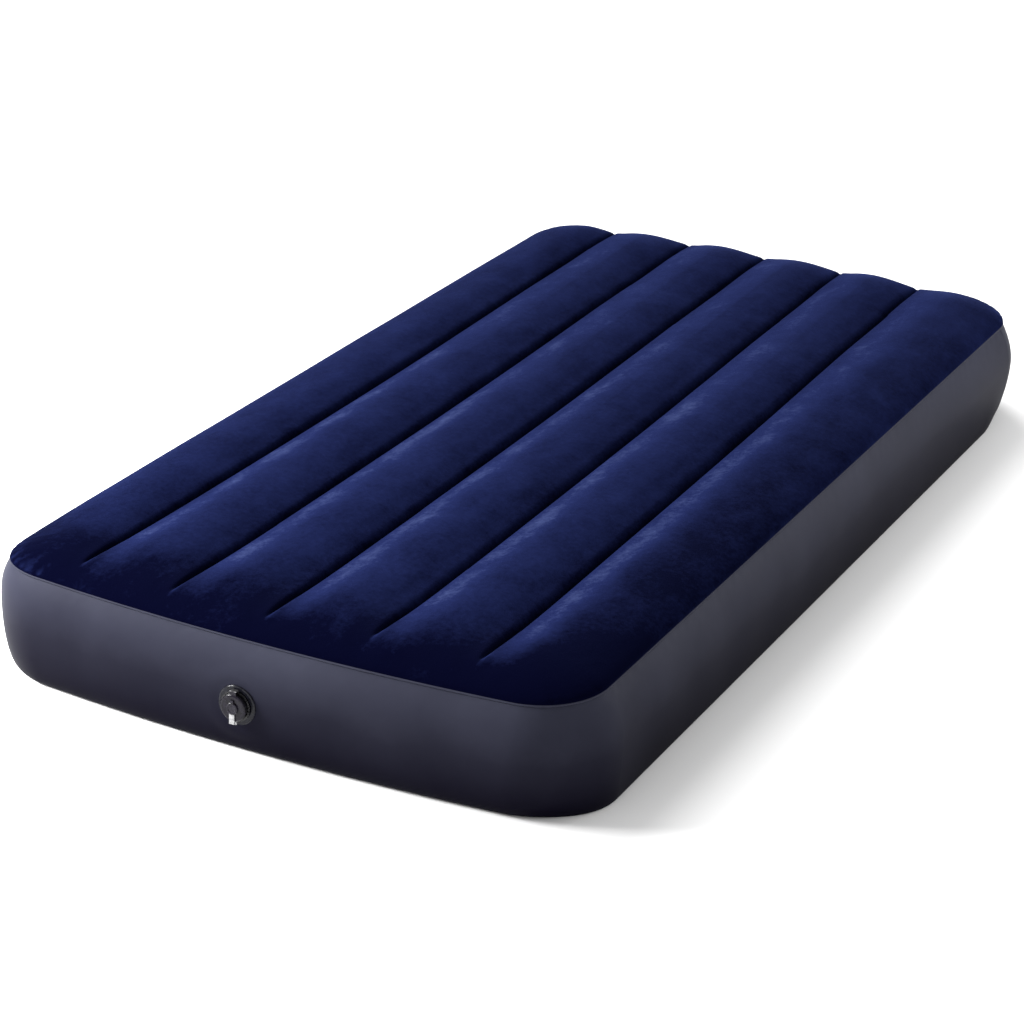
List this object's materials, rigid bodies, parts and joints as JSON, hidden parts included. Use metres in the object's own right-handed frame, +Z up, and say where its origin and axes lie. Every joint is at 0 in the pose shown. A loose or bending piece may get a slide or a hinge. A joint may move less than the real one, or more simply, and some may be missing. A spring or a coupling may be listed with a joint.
{
  "type": "air mattress",
  "caption": "Inflated single air mattress with a flocked ribbed top, a smooth vinyl side wall, inner beams and a capped filling valve in the foot end.",
  "frame": {"origin": "on the floor, under the middle of the whole object with its valve", "axes": "+Y runs along the bed away from the valve end, +X across it, +Z up"},
  "size_m": [0.99, 1.9252, 0.2],
  "materials": {
    "flocked_top": "matt flocked pile",
    "wall_vinyl": "satin",
    "base_vinyl": "satin, finely grained",
    "seam_vinyl": "satin",
    "beam_vinyl": "matt film",
    "valve_clear": "smoky translucent soft vinyl",
    "flap_rubber": "soft matt"
  },
  "bodies": {
    "mattress_body": {"top_panel": "flocked_top", "bottom_panel": "base_vinyl", "side_wall": "wall_vinyl", "wall_joint": "wall_vinyl", "top_seam": "seam_vinyl", "bottom_seam": "seam_vinyl", "beam_1_top_strip": "beam_vinyl", "beam_1_web": "beam_vinyl", "beam_1_bottom_strip": "beam_vinyl", "beam_2_top_strip": "beam_vinyl", "beam_2_web": "beam_vinyl", "beam_2_bottom_strip": "beam_vinyl", "beam_3_top_strip": "beam_vinyl", "beam_3_web": "beam_vinyl", "beam_3_bottom_strip": "beam_vinyl", "beam_4_top_strip": "beam_vinyl", "beam_4_web": "beam_vinyl", "beam_4_bottom_strip": "beam_vinyl", "beam_5_top_strip": "beam_vinyl", "beam_5_web": "beam_vinyl", "beam_5_bottom_strip": "beam_vinyl", "valve_body": "valve_clear", "valve_seat": "valve_clear", "stopper_strap": "valve_clear"},
    "stopper_unit": {"stopper": "valve_clear", "cap_strap": "valve_clear"},
    "cap_unit": {"inflation_cap": "valve_clear"},
    "flap_unit": {"check_flap": "flap_rubber"}
  },
  "joints": [
    {"name": "stopper_hinge", "type": "hinge", "parent": "mattress_body", "child": "stopper_unit", "pos_m": [-0.018, -0.9579, 0.103], "axis": [-1, 0, 0], "range_deg": [0, 110]},
    {"name": "cap_hinge", "type": "hinge", "parent": "stopper_unit", "child": "cap_unit", "pos_m": [-0.018, -0.9615, 0.09], "axis": [-1, 0, 0], "range_deg": [0, 105]},
    {"name": "flap_hinge", "type": "hinge", "parent": "mattress_body", "child": "flap_unit", "pos_m": [-0.018, -0.9355, 0.093], "axis": [1, 0, 0], "range_deg": [0, 50]}
  ]
}
